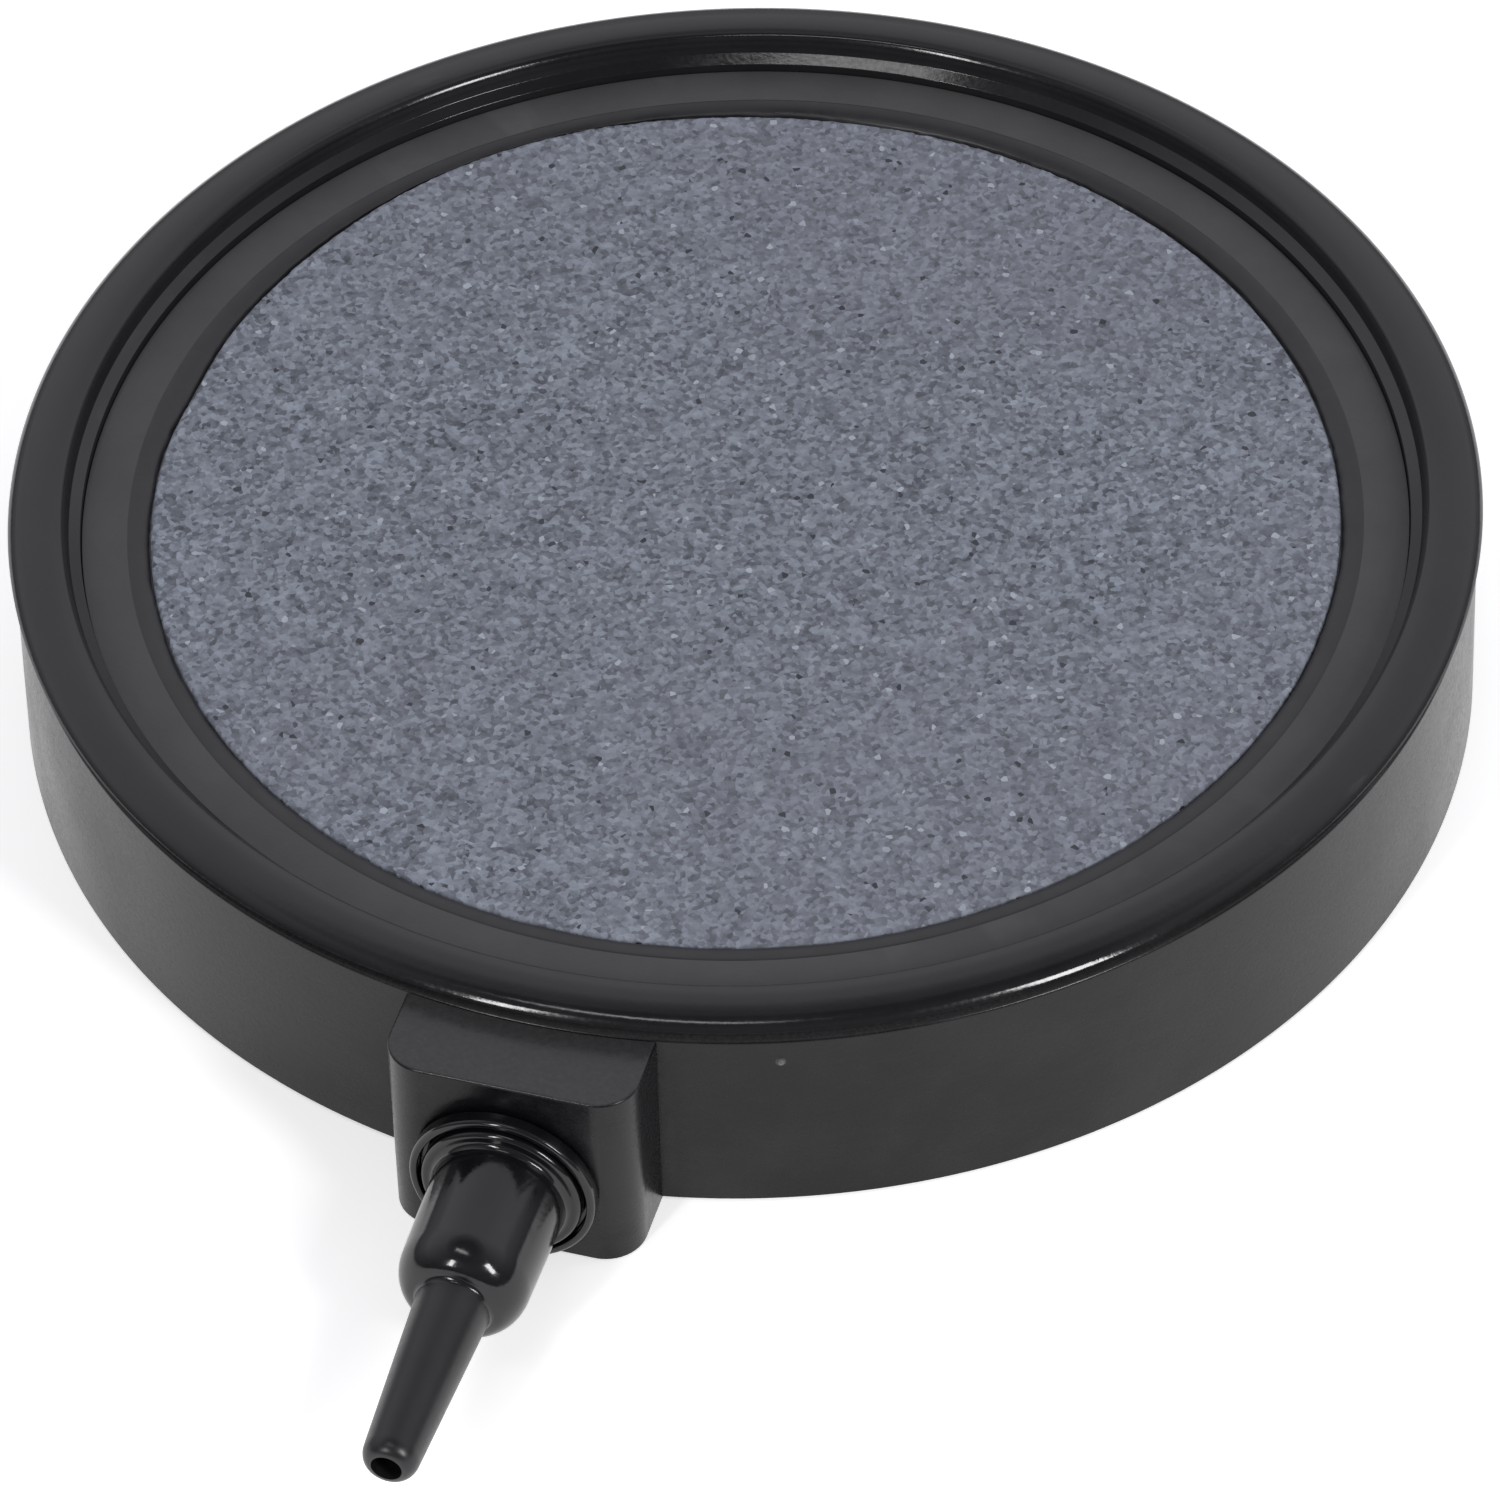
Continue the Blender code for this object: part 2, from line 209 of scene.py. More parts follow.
def place(obj, body, slot, material, *nodes):
    """Give a finished piece its material and body, and hide the CAD nodes that it stands for. The slot
    is not used.
    """
    obj.data.materials.clear()
    obj.data.materials.append(material)
    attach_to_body(obj, body)
    if nodes:
        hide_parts(*nodes)
    return obj


# ---------------------------------------------------------------- material helpers


class Nodes:
    """A short way to add and link shader nodes in one material."""

    def __init__(self, name):
        self.material = bpy.data.materials.new(name)
        self.material.use_nodes = True
        self.tree = self.material.node_tree
        self.shader = self.tree.nodes["Principled BSDF"]
        coordinates = self.tree.nodes.new("ShaderNodeTexCoord")
        self.place = coordinates.outputs["Object"]
        self.facing = coordinates.outputs["Normal"]

    def add(self, kind, inputs=None, **settings):
        """A node with these settings, and each input linked to a socket or set to a value."""
        node = self.tree.nodes.new(kind)
        for key, value in settings.items():
            setattr(node, key, value)
        for key, value in (inputs or {}).items():
            if hasattr(value, "is_output"):
                self.tree.links.new(value, node.inputs[key])
            else:
                node.inputs[key].default_value = value
        return node

    def noise(self, scale, detail=2.0, roughness=0.5, place=None, distortion=0.0):
        inputs = {
            "Vector": place or self.place,
            "Scale": scale,
            "Detail": detail,
            "Roughness": roughness,
            "Distortion": distortion,
        }
        return self.add("ShaderNodeTexNoise", inputs).outputs["Fac"]

    def grains(self, scale):
        """Voronoi cells, each with its own random colour."""
        return self.add("ShaderNodeTexVoronoi", {"Vector": self.place, "Scale": scale})

    def split(self, colour):
        """The red, green and blue of a colour."""
        return self.add("ShaderNodeSeparateColor", {"Color": colour}).outputs

    def part(self, vector, axis):
        """The X, Y or Z of a vector."""
        return self.add("ShaderNodeSeparateXYZ", {"Vector": vector}).outputs[axis]

    def span(self, value, low, high, to_low, to_high):
        """Map a value's range onto another, clamped."""
        inputs = {
            "Value": value,
            "From Min": low,
            "From Max": high,
            "To Min": to_low,
            "To Max": to_high,
        }
        return self.add("ShaderNodeMapRange", inputs).outputs["Result"]

    def maths(self, operation, a, b=0.0):
        return self.add("ShaderNodeMath", {0: a, 1: b}, operation=operation).outputs[0]

    def mix(self, share, a, b):
        """Mix two colours."""
        node = self.add("ShaderNodeMix", data_type="RGBA")
        self.set(node.inputs[0], share)
        self.set(node.inputs[6], a)
        self.set(node.inputs[7], b)
        return node.outputs[2]

    def set(self, socket, value):
        if hasattr(value, "is_output"):
            self.tree.links.new(value, socket)
        else:
            socket.default_value = (*value, 1.0) if isinstance(value, tuple) else value

    def bump(self, height, strength, distance, normal=None):
        inputs = {"Height": height, "Strength": strength, "Distance": distance}
        if normal is not None:
            inputs["Normal"] = normal
        return self.add("ShaderNodeBump", inputs).outputs["Normal"]

    def surface(self, colour, roughness, normal):
        """Give the shader its three textured inputs, and return the material."""
        self.set(self.shader.inputs["Base Color"], colour)
        self.set(self.shader.inputs["Roughness"], roughness)
        self.set(self.shader.inputs["Normal"], normal)
        return self.material


def black_plastic(
    name,
    dark,
    light,
    roughness,
    spread,
    grain,
    scratches,
    shine=0.5,
    matt_beyond=None,
    gate=None,
    steep=0.0,
    dust=0.0,
):
    """Moulded black plastic: cloudy colour, fine skin texture, rubbed edges and faint scratches.

    Past matt_beyond, a distance along -Y, the skin is duller. Round gate, a point, a painted highlight
    is laid on: the colour is mixed to a lighter grey.
    Steep walls are duller by the amount steep, as the mould's polish doesn't reach them.
    Dust lies on level faces, as densely as dust says.
    """
    n = Nodes(name)
    clouds = n.noise(95.0, 4.0, 0.6)
    specks = n.noise(2600.0, 2.0, 0.6)

    drawn_out = n.add("ShaderNodeMapping", {"Vector": n.place, "Scale": (1.0, 1.0, 7.0)})
    flow = n.noise(160.0, 3.0, 0.55, place=drawn_out.outputs[0], distortion=0.6)
    tone = n.maths("ADD", n.maths("MULTIPLY", clouds, 0.6), n.maths("MULTIPLY", flow, 0.4))
    colour = n.mix(n.span(tone, 0.35, 0.65, 0.0, 1.0), dark, light)
    edge = n.add("ShaderNodeNewGeometry").outputs["Pointiness"]
    at_edges = n.span(edge, 0.52, 0.58, 0.0, 1.0)
    in_patches = n.span(clouds, 0.42, 0.62, 0.0, 0.6)
    worn = tuple(c + WEAR for c in light)
    colour = n.mix(n.maths("MULTIPLY", at_edges, in_patches), colour, worn)
    # Painted highlight: lighter grey round the gate point, fading out with distance.
    if gate is not None:
        away = n.add("ShaderNodeVectorMath", {0: n.place, 1: gate}, operation="DISTANCE")
        colour = n.mix(n.span(away.outputs["Value"], *GATE_HIGHLIGHT_FADE, 1.0, 0.0), colour, GATE_HIGHLIGHT_GREY)
    if dust:
        on_level = n.span(n.part(n.facing, "Z"), 0.7, 0.98, 0.0, dust)
        uneven_dust = n.span(specks, 0.3, 0.7, 0.75, 1.0)
        colour = n.mix(n.maths("MULTIPLY", on_level, uneven_dust), colour, DUST_GREY)

    uneven = n.span(clouds, 0.3, 0.7, roughness - spread, roughness + spread)
    rough = n.maths("ADD", uneven, n.span(specks, 0.35, 0.65, -0.03, 0.03))
    if matt_beyond is not None:
        along = n.part(n.place, "Y")
        rough = n.maths("ADD", rough, n.span(along, -matt_beyond - 0.0006, -matt_beyond, 0.22, 0.0))
    if steep:
        level = n.maths("ABSOLUTE", n.part(n.facing, "Z"))
        rough = n.maths("ADD", rough, n.span(level, 0.2, 0.45, steep, 0.0))

    skin = n.bump(specks, grain, 0.00004)
    strokes = {"Vector": n.place, "Scale": (40.0, 900.0, 40.0), "Rotation": (0.0, 0.4, 0.7)}
    stretched = n.add("ShaderNodeMapping", strokes)
    lines = n.noise(1.0, 3.0, 0.7, place=stretched.outputs[0], distortion=0.3)
    scored = n.bump(n.span(lines, 0.62, 0.7, 0.0, 1.0), scratches, 0.00002, skin)
    n.shader.inputs["Specular IOR Level"].default_value = shine
    return n.surface(colour, rough, scored)


def stone_material():
    """Bonded mineral grit: each grain its own grey-blue, with glassy grains, dark grains and pits."""
    n = Nodes("porous_stone")
    grain = n.grains(2500.0)
    of_grain = n.split(grain.outputs["Color"])
    of_coarse = n.split(n.grains(1150.0).outputs["Color"])
    mottle = n.noise(1500.0, 3.0, 0.6)
    drift = n.noise(24.0, 3.0, 0.55)
    tone = n.maths("MULTIPLY", of_grain[0], 0.42)
    tone = n.maths("ADD", tone, n.maths("MULTIPLY", of_coarse[0], 0.15))
    tone = n.maths("ADD", tone, n.maths("MULTIPLY", mottle, 0.43))
    grey = n.mix(n.span(tone, 0.2, 0.8, 0.0, 1.0), STONE_DARK, STONE_LIGHT)
    grey = n.mix(n.span(drift, 0.35, 0.65, 0.0, 0.3), grey, STONE_WARM)
    glassy = n.span(of_grain[1], 0.988, 0.996, 0.0, 0.75)
    dark = n.span(of_grain[1], 0.004, 0.01, 0.9, 0.0)
    colour = n.mix(dark, n.mix(glassy, grey, GLASSY_GRAIN), DARK_GRAIN)
    roughness = n.span(glassy, 0.0, 1.0, 0.92, 0.35)
    fine = n.bump(n.noise(4200.0, 3.0, 0.65), 0.35, 0.00008)
    return n.surface(colour, roughness, n.bump(grain.outputs["Distance"], 0.35, 0.0001, fine))


def sealant_material():
    """Cured black sealant: smooth and fairly shiny, a little uneven."""
    n = Nodes("sealant")
    clouds = n.noise(420.0, 3.0, 0.6)
    colour = n.mix(clouds, (0.009, 0.009, 0.0105), (0.016, 0.016, 0.018))
    return n.surface(colour, n.span(clouds, 0.3, 0.7, 0.3, 0.46), n.bump(clouds, 0.25, 0.00012))


def rubber_material():
    """Matt seal rubber with a dusting of talc."""
    n = Nodes("seal_rubber")
    talc = n.noise(900.0, 4.0, 0.65)
    colour = n.mix(talc, (0.012, 0.012, 0.012), (0.045, 0.045, 0.046))
    skin = n.bump(n.noise(3000.0, 2.0), 0.25, 0.00005)
    return n.surface(colour, n.span(talc, 0.3, 0.7, 0.55, 0.8), skin)


# ---------------------------------------------------------------- sizes from the frame

dish_low, dish_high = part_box("base_dish")
ring_low, ring_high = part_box("cover_ring")
carrier_low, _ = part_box("stone_carrier")
stone_low, stone_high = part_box("stone_disc")
bush_low, bush_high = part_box("inlet_bush")
nozzle_low, nozzle_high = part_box("inlet_nozzle")

RIM_RADIUS = ring_high.x / MM
RIM_TOP = ring_high.z / MM
SKIRT_BOTTOM = ring_low.z / MM
WALL_RADIUS = dish_high.x / MM
WALL_TOP = dish_high.z / MM
BOSS_FACE = -dish_low.y / MM
CUP_BOTTOM = carrier_low.z / MM
STONE_RADIUS = stone_high.x / MM
STONE_TOP = stone_high.z / MM
STONE_BOTTOM = stone_low.z / MM
INLET_HEIGHT = (bush_high.z + bush_low.z) / 2 / MM
COLLAR_RADIUS = bush_high.x / MM
COLLAR_FACE = -bush_low.y / MM
BUSH_BACK = -bush_high.y / MM
FLANGE_RADIUS = nozzle_high.x / MM
STEM_TIP = -nozzle_low.y / MM
PLUG_BACK = -nozzle_high.y / MM

BOSS_TOP = 15.9
BOSS_HALF_WIDTH = 9.0
BOSS_CORNER = 2.9
BOSS_BACK = 52.3
RIB_FOOT = 1.4
RIB_TOP = 7.2
RIB_COUNT = 4
GATE_HEIGHT = 14.1
GATE_TURN = math.radians(18.9)
GATE_BASE = 53.2
GATE_FACE = 53.3


# ---------------------------------------------------------------- pieces


def quarter(centre, across, upward, start, stop, steps):
    """Corners along an ellipse, from one angle off the vertical to another, in degrees."""
    corners = []
    for i in range(steps + 1):
        angle = math.radians(start + (stop - start) * i / steps)
        radius = centre[0] + across * math.sin(angle)
        corners.append((radius, centre[1] + upward * math.cos(angle), 0.0))
    return corners


def slope(start, stop, flat_end, steps=5):
    """Corners of a gentle curve between two (radius, height) points.

    It is level at its last point if flat_end is true, and at its first point otherwise.
    """
    corners = []
    for i in range(1, steps):
        share = i / steps
        radius = start[0] + (stop[0] - start[0]) * share
        curve = 1 - (1 - share) ** 2 if flat_end else share**2
        corners.append((radius, start[1] + (stop[1] - start[1]) * curve, 0.0))
    return corners


def make_cover_ring(material):
    """Rim with rounded inner and outer edges, and a broad bevel down to the carrier's band."""
    skirt_inner, skirt_outer = 46.9, 50.6
    shelf = 12.8
    bevel_foot, bevel_head = (48.33, 16.2), (49.15, 16.7)
    inner_edge = quarter((49.85, 17.1), across=0.6, upward=1.02, start=-90, stop=0, steps=10)
    outer_centre = (52.05, 16.95)
    outer_stop = 70
    reach = (RIM_RADIUS - outer_centre[0]) / math.sin(math.radians(outer_stop))
    outer_edge = quarter(outer_centre, reach, upward=1.16, start=12, stop=outer_stop, steps=12)
    inner_top = (50.8, RIM_TOP)
    outer_top = (50.9, RIM_TOP)
    outline = rounded(
        [
            (skirt_inner, SKIRT_BOTTOM, 0.2),
            (skirt_inner, shelf, 0.1),
            (48.3, shelf, 0.0),
            (*bevel_foot, 0.07),
            (*bevel_head, 0.1),
            *inner_edge,
            *slope(inner_edge[-1][:2], inner_top, True),
            (*inner_top, 0.0),
            (*outer_top, 0.0),
            *slope(outer_top, outer_edge[0][:2], False),
            *outer_edge,
            (RIM_RADIUS - 0.12, 17.18, 0.06),
            (52.6, 17.0, 0.1),
            (skirt_outer, 16.9, 0.1),
            (skirt_outer, SKIRT_BOTTOM, 0.3),
        ]
    )
    ring = revolve("cover_ring_shell", outline, FINE_STEPS)
    return place(shade(ring), "housing", "gloss_black_plastic", material, "cover_ring")


def make_boss_block():
    """The square inlet boss: rounded in plan at its two front corners, with finely broken edges."""
    foot_edge, top_edge = 0.12, 0.22
    edge_steps, corner_steps = 5, 12
    levels = [(0.0, foot_edge), (foot_edge, 0.0)]
    for i in range(edge_steps + 1):
        angle = math.pi / 2 * i / edge_steps
        height = BOSS_TOP - top_edge + top_edge * math.sin(angle)
        levels.append((height, top_edge * (1 - math.cos(angle))))
    vertices = []
    rings = []
    for height, inset in levels:
        ring = []
        radius = BOSS_CORNER - inset
        for side, start in ((-1, math.pi), (1, 1.5 * math.pi)):
            for k in range(corner_steps + 1):
                angle = start + math.pi / 2 * k / corner_steps
                x = side * (BOSS_HALF_WIDTH - BOSS_CORNER) + radius * math.cos(angle)
                y = -(BOSS_FACE - BOSS_CORNER) + radius * math.sin(angle)
                ring.append(len(vertices))
                vertices.append((x * MM, y * MM, height * MM))
        for side in (1, -1):
            ring.append(len(vertices))
            vertices.append((side * (BOSS_HALF_WIDTH - inset) * MM, -BOSS_BACK * MM, height * MM))
        rings.append(ring)
    count = len(rings[0])
    faces = [tuple(reversed(rings[0])), tuple(rings[-1])]
    for lower, upper in zip(rings, rings[1:]):
        for k in range(count):
            n = (k + 1) % count
            faces.append((lower[k], lower[n], upper[n], upper[k]))
    return object_from("boss_block", vertices, faces)


def make_rod(name, radius, start, end):
    """A cutter round the inlet's axis."""
    corners = [(0.0, end), (radius, end), (radius, start), (0.0, start)]
    outline = [(r * MM, along * MM) for r, along in corners]
    return on_inlet(revolve(name, outline, SMALL_STEPS, closed=False), INLET_HEIGHT * MM)


def make_rib(turn):
    """One support rib right across the floor, thinner towards its top as a moulding is."""
    reach = 39.5
    vertices = []
    for height, half in ((RIB_FOOT, 0.8), (RIB_TOP, 0.65)):
        for x, y in ((-reach, -half), (reach, -half), (reach, half), (-reach, half)):
            vertices.append((x * MM, y * MM, height * MM))
    sides = [(k, (k + 1) % 4, 4 + (k + 1) % 4, 4 + k) for k in range(4)]
    rib = object_from("rib", vertices, [(3, 2, 1, 0), (4, 5, 6, 7), *sides])
    rib.data.transform(Matrix.Rotation(turn, 4, "Z"))
    return rib


def make_hub():
    """The round boss where the ribs meet."""
    radius, edge = 5.0, 0.1
    profile = [
        (0.0, RIB_TOP),
        (radius - edge, RIB_TOP),
        (radius, RIB_TOP - edge),
        (radius, RIB_FOOT),
        (0.0, RIB_FOOT),
    ]
    return revolve("hub", [(r * MM, z * MM) for r, z in profile], 72, closed=False)


def make_gate_mark():
    """The little pip left on the front wall where the plastic entered the mould."""
    base = Vector((0, -GATE_BASE * MM, GATE_HEIGHT * MM))
    profile = [(0.0, 0.22), (0.14, 0.2), (0.23, 0.13), (0.29, 0.0), (0.29, -0.6), (0.0, -0.6)]
    outline = [(r * MM, z * MM) for r, z in profile]
    mark = revolve("gate_mark", outline, 24, closed=False)
    outward = Matrix.Rotation(GATE_TURN, 4, "Z") @ Matrix.Translation(base)
    mark.data.transform(outward @ Matrix.Rotation(math.pi / 2, 4, "X"))
    return mark


def make_dish(material):
    """Wall, floor, support ribs and inlet boss, with the gate mark and the recess on the underside."""
    floor_top, inner_wall = 2.2, 50.9
    rebate_radius, rebate_floor = 52.2, 14.6
    draft, foot_edge = 0.25, 0.3
    recess_inner, recess_outer, recess_depth = 20.5, 46.3, 0.6
    recess_slope = 0.5
    outline = rounded(
        [
            (0.0, floor_top, 0.0),
            (inner_wall, floor_top, 0.8),
            (inner_wall, rebate_floor, 0.1),
            (rebate_radius, rebate_floor, 0.1),
            (rebate_radius, WALL_TOP, 0.1),
            (WALL_RADIUS - draft, WALL_TOP, 0.25),
            (WALL_RADIUS, foot_edge, 0.0),
            (WALL_RADIUS - foot_edge, 0.0, 0.2),
            (recess_outer + recess_slope, 0.0, 0.15),
            (recess_outer, recess_depth, 0.3),
            (recess_inner, recess_depth, 0.3),
            (recess_inner - recess_slope, 0.0, 0.15),
            (0.0, 0.0, 0.0),
        ],
        segments=4,
        closed=False,
    )
    dish = revolve("base_dish_shell", outline, FINE_STEPS, closed=False)
    for i in range(RIB_COUNT):
        combine(dish, make_rib(math.pi * (i + 0.5) / RIB_COUNT), "UNION")
    combine(dish, make_hub(), "UNION")
    combine(dish, make_boss_block(), "UNION")
    combine(dish, make_rod("bore", radius=6.0, start=52.0, end=BOSS_FACE + 5), "DIFFERENCE")
    combine(dish, make_rod("passage", radius=3.0, start=49.0, end=57.0), "DIFFERENCE")
    attach(dish, make_gate_mark())
    return place(shade(dish), "housing", "satin_black_plastic", material, "base_dish")


def make_carrier(material):
    """Band round the stone, chamfered under the sealant at its inner edge, and the cup below it."""
    ledge_inner, ledge_top = 41.2, 6.6
    cup_inner, cup_outer = 43.6, 46.6
    band_outer, band_top, band_under = 48.27, 15.56, 13.1
    outline = rounded(
        [
            (ledge_inner, CUP_BOTTOM, 0.2),
            (ledge_inner, ledge_top, 0.2),
            (cup_inner, ledge_top, 0.2),
            (cup_inner, 14.4, 0.1),
            (44.6, 15.2, 0.1),
            (44.75, band_top, 0.04),
            (band_outer, band_top, 0.05),
            (band_outer, band_under, 0.2),
            (cup_outer, band_under, 0.3),
            (cup_outer, CUP_BOTTOM, 0.3),
        ],
        segments=5,
    )
    carrier = revolve("stone_carrier_band", outline, FINE_STEPS)
    return place(shade(carrier), "housing", "satin_black_plastic", material, "stone_carrier")


def edge_shift(angle):
    """How far the stone's edge and its sealant stray outward at this angle, in millimetres."""
    degrees = math.degrees(angle) % 360
    bulge = 0.55 * math.exp(-(((degrees - 132) / 22) ** 2))
    dent = 0.3 * math.exp(-(((degrees - 177) / 6) ** 2))
    return bulge - dent


def lattice_noise(points, cell, seed):
    """Smooth noise from 0 to 1 on a plane, from a lattice of random heights that repeats."""
    rng = np.random.default_rng(seed)
    size = 512
    table = rng.random((size, size))
    scaled = points / cell + size / 2
    base = np.floor(scaled).astype(int)
    share = scaled - base
    share = share * share * (3 - 2 * share)
    x0, y0 = base[:, 0] % size, base[:, 1] % size
    x1, y1 = (x0 + 1) % size, (y0 + 1) % size
    low = table[x0, y0] * (1 - share[:, 0]) + table[x1, y0] * share[:, 0]
    high = table[x0, y1] * (1 - share[:, 0]) + table[x1, y1] * share[:, 0]
    return low * (1 - share[:, 1]) + high * share[:, 1]


def scatter(rng, edge, spacing):
    """Points on a jittered triangular grid inside a circle of this radius."""
    step_y = spacing * math.sqrt(3) / 2
    count = int(edge / step_y) + 1
    rows = []
    for j in range(-count, count + 1):
        shift = spacing / 2 if j % 2 else 0.0
        xs = np.arange(-edge, edge, spacing) + shift
        rows.append(np.stack([xs, np.full(len(xs), j * step_y)], 1))
    flat = np.concatenate(rows)
    flat = flat + rng.uniform(-0.3, 0.3, flat.shape) * spacing
    return flat[np.hypot(flat[:, 0], flat[:, 1]) < edge - 0.2 * spacing]


def relief(rng, points, edge):
    """How far the stone's face rises at each point: grains, low waves and scattered pits."""
    height = 0.1 * (lattice_noise(points, 0.6, SEED + 1) - 0.5)
    height += 0.07 * (rng.random(len(points)) - 0.5)
    height += 0.05 * (lattice_noise(points, 6.0, SEED + 2) - 0.5)
    pits = rng.uniform(-edge, edge, (260, 2))
    pits = pits[np.hypot(pits[:, 0], pits[:, 1]) < edge - 1]
    for (x, y), radius in zip(pits, rng.uniform(0.2, 0.42, len(pits))):
        away = np.hypot(points[:, 0] - x, points[:, 1] - y)
        height -= 0.5 * np.clip(1 - away / radius, 0, 1)
    return height


def disc_faces(points):
    """Triangles over scattered points in a plane."""
    result = delaunay_2d_cdt([Vector(p) for p in points], [], [], 0, 1e-6)
    return [tuple(face) for face in result[2]]


def make_stone(material):
    """Porous disc with a really rough face, whose edge follows the sealant's bulge and dent."""
    rng = np.random.default_rng(SEED)
    spacing = 0.285
    crest = 0.07
    edge = STONE_RADIUS - 0.2
    shoulder = STONE_TOP - 0.35
    still_radius = 40
    flat = scatter(rng, edge, spacing)
    rim_count = int(2 * math.pi * edge / spacing)
    angles = np.linspace(0, 2 * math.pi, rim_count, endpoint=False)
    rim = np.stack([np.cos(angles), np.sin(angles)], 1)
    top = np.concatenate([flat, rim * edge])
    height = relief(rng, top, edge)
    away = np.hypot(top[:, 0], top[:, 1])
    turn = np.arctan2(top[:, 1], top[:, 0])
    shift = np.array([edge_shift(angle) for angle in turn])
    shift = shift * np.clip((away - still_radius) / (edge - still_radius), 0, 1)
    height = STONE_TOP - crest + np.minimum(height, crest) + 0.5 * np.maximum(shift, 0)
    top = top * (1 + shift / away)[:, None]
    vertices = [tuple(v) for v in np.column_stack([top * MM, height * MM])]
    faces = disc_faces(top)
    shoulder_reach = STONE_RADIUS + shift[len(flat) :]
    foot_reach = np.full(rim_count, STONE_RADIUS)
    ring = list(range(len(flat), len(flat) + rim_count))
    for reach, z in ((shoulder_reach, shoulder), (foot_reach, STONE_BOTTOM)):
        following = list(range(len(vertices), len(vertices) + rim_count))
        vertices += [(x * r * MM, y * r * MM, z * MM) for (x, y), r in zip(rim, reach)]
        for k in range(rim_count):
            n = (k + 1) % rim_count
            faces.append((ring[k], following[k], following[n], ring[n]))
        ring = following
    faces.append(tuple(reversed(ring)))
    stone = object_from("stone_face", vertices, faces)
    stone.data.shade_smooth()
    return place(stone, "housing", "porous_stone", material, "stone_disc")


def wander(rng, knots, size):
    """Smooth random values round a circle, one for each step of the bead."""
    heights = rng.uniform(-size, size, knots)
    places = np.arange(BEAD_STEPS) / BEAD_STEPS * knots
    share = places % 1
    share = share * share * (3 - 2 * share)
    before = places.astype(int)
    return heights[before] * (1 - share) + heights[(before + 1) % knots] * share


def make_bead(material):
    """Hand-laid sealant: an uneven groove beside the stone, and a fillet smoothed over the band."""
    rng = np.random.default_rng(SEED + 3)
    inward_wave, upward_wave = [
        wander(rng, 340, 0.07) + wander(rng, 90, 0.09) + wander(rng, 31, 0.05) for _ in range(2)
    ]
    inner, low = 42.98, 12.9
    groove = [
        (inner, low),
        (inner, 14.98),
        (inner + 0.08, 15.08),
        (inner + 0.18, 14.98),
        (inner + 0.27, 14.9),
        (inner + 0.38, 14.92),
    ]
    fillet_corners = quarter((44.9, 15.08), across=1.44, upward=0.5, start=-85, stop=0, steps=12)
    fillet = [(r, z) for r, z, _ in fillet_corners]
    edge = [(45.0, 15.55), (44.95, 15.4), (44.2, 14.9), (43.5, 14.3), (43.5, low)]
    outline = [(r * MM, z * MM) for r, z in (*groove, *fillet, *edge)]
    lip = 4
    fading = 5
    still = len(groove) + fading

    def wobble(angle, i):
        """The groove strays and waves, and the fillet's first few points less and less."""
        if i == 0 or i >= still:
            return 0.0, 0.0
        k = round(angle / (2 * math.pi) * BEAD_STEPS) % BEAD_STEPS
        shift = edge_shift(angle)
        inward = 1.0 if i < lip else 0.45
        lift = 0.5 * max(shift, 0.0) + 0.6 * upward_wave[k]
        fade = 1.0 if i < len(groove) else (still - i) / (fading + 1)
        return fade * (shift + inward * inward_wave[k]) * MM, fade * lift * MM

    bead = revolve("sealant_line", outline, BEAD_STEPS, wobble=wobble)
    return place(shade(bead), "housing", "sealant", material, "sealant_bead")


def make_bush(material):
    """Collar with a soft outer edge and a lipped seat, and the liner behind it."""
    liner_inner, liner_outer = 4.5, 5.7
    seat_radius, seat_floor = 6.1, COLLAR_FACE - 0.95
    collar_back = COLLAR_FACE - 1.1
    outline = rounded(
        [
            (liner_inner, BUSH_BACK, 0.15),
            (liner_inner, seat_floor, 0.15),
            (seat_radius, seat_floor, 0.1),
            (seat_radius, COLLAR_FACE, 0.18),
            (COLLAR_RADIUS, COLLAR_FACE, 0.4),
            (COLLAR_RADIUS, collar_back, 0.08),
            (liner_outer, collar_back, 0.1),
            (liner_outer, BUSH_BACK, 0.3),
        ],
        segments=8,
    )
    bush = on_inlet(revolve("inlet_collar", outline, INLET_STEPS), INLET_HEIGHT * MM)
    return place(shade(bush), "housing", "gloss_black_plastic", material, "inlet_bush")


def stem_tip(airway):
    """The stem's rounded end, from its airway out to its side, as (radius, distance) points."""
    thickness, length = 0.9, 1.3
    steps = 8
    points = []
    for i in range(steps + 1):
        angle = math.pi / 2 * i / steps
        points.append((airway + thickness * math.sin(angle), STEM_TIP - length * (1 - math.cos(angle))))
    return points


